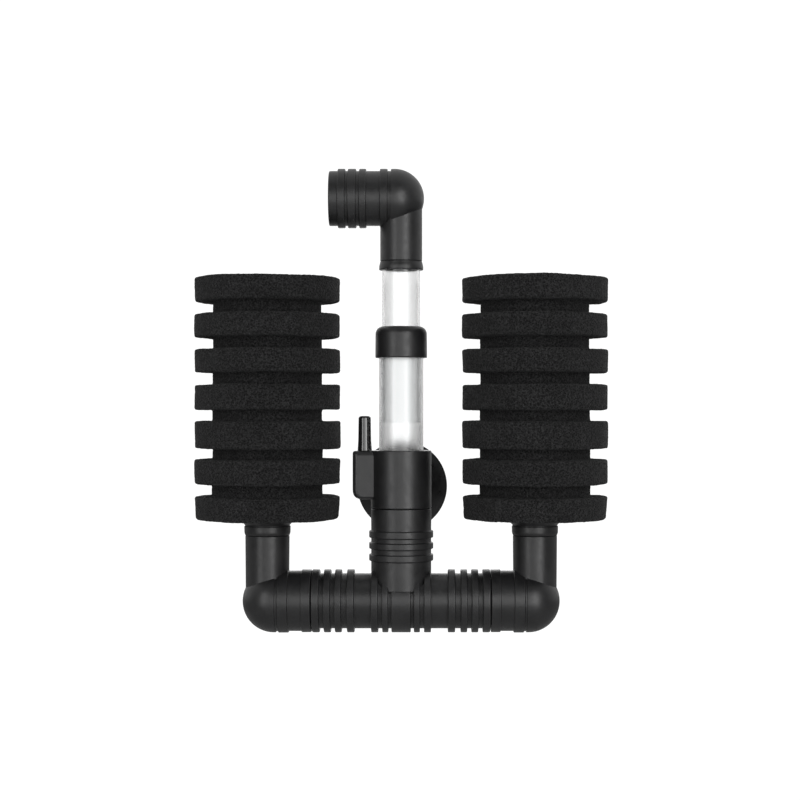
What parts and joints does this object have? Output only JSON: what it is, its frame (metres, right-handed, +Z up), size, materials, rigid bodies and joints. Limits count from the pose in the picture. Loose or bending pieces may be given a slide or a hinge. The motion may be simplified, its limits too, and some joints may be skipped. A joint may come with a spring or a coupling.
{
  "type": "sponge filter",
  "caption": "Air-driven aquarium sponge filter: ringed foam sponges on swivelling elbows, tee base, clear telescopic riser, elbow outlet, airline nipple and suction cup.",
  "frame": {"origin": "centre of the suction cup's rim, on the plane of the tank's glass", "axes": "+Y out of the cup's mouth into the glass, so the filter stands in front of it towards -Y; +Z up along the riser; +X to the right as the filter is looked at"},
  "size_m": [0.1716, 0.0631, 0.193],
  "materials": {
    "black_plastic": "satin",
    "gloss_black": "gloss",
    "clear_tube": "gloss",
    "foam": "matte",
    "rubber": "satin"
  },
  "bodies": {
    "glass_cup": {"suction_cup": "rubber"},
    "filter_body": {"air_chamber": "black_plastic", "airline_nipple": "gloss_black", "diffuser_sleeve": "black_plastic", "lower_tube": "clear_tube", "tube_collar": "black_plastic", "collar_seal": "rubber"},
    "base": {"tee": "black_plastic"},
    "left_arm": {"left_elbow": "black_plastic", "left_core": "black_plastic"},
    "right_arm": {"right_elbow": "black_plastic", "right_core": "black_plastic"},
    "left_foam": {"left_sponge": "foam"},
    "right_foam": {"right_sponge": "foam"},
    "riser": {"upper_tube": "clear_tube"},
    "outlet": {"outlet_elbow": "black_plastic"}
  },
  "joints": [
    {"name": "cup_swivel", "type": "hinge", "parent": "glass_cup", "child": "filter_body", "pos_m": [0, 0, 0], "axis": [0, 1, 0], "continuous": true},
    {"name": "base_turn", "type": "hinge", "parent": "filter_body", "child": "base", "pos_m": [0, -0.033, -0.0464], "axis": [0, 0, 1], "range_deg": [-25, 25]},
    {"name": "left_arm_swivel", "type": "hinge", "parent": "base", "child": "left_arm", "pos_m": [-0.0557, -0.033, -0.0464], "axis": [1, 0, 0], "range_deg": [0, 180]},
    {"name": "right_arm_swivel", "type": "hinge", "parent": "base", "child": "right_arm", "pos_m": [0.0557, -0.033, -0.0464], "axis": [1, 0, 0], "range_deg": [0, 180]},
    {"name": "left_sponge_pull", "type": "slide", "parent": "left_arm", "child": "left_foam", "axis": [0, 0, 1], "range_m": [0, 0.018]},
    {"name": "right_sponge_pull", "type": "slide", "parent": "right_arm", "child": "right_foam", "axis": [0, 0, 1], "range_m": [0, 0.1]},
    {"name": "tube_slide", "type": "slide", "parent": "filter_body", "child": "riser", "axis": [0, 0, 1], "range_m": [-0.02, 0.035]},
    {"name": "outlet_swivel", "type": "hinge", "parent": "riser", "child": "outlet", "pos_m": [0, -0.033, 0.1211], "axis": [0, 0, 1], "continuous": true}
  ]
}
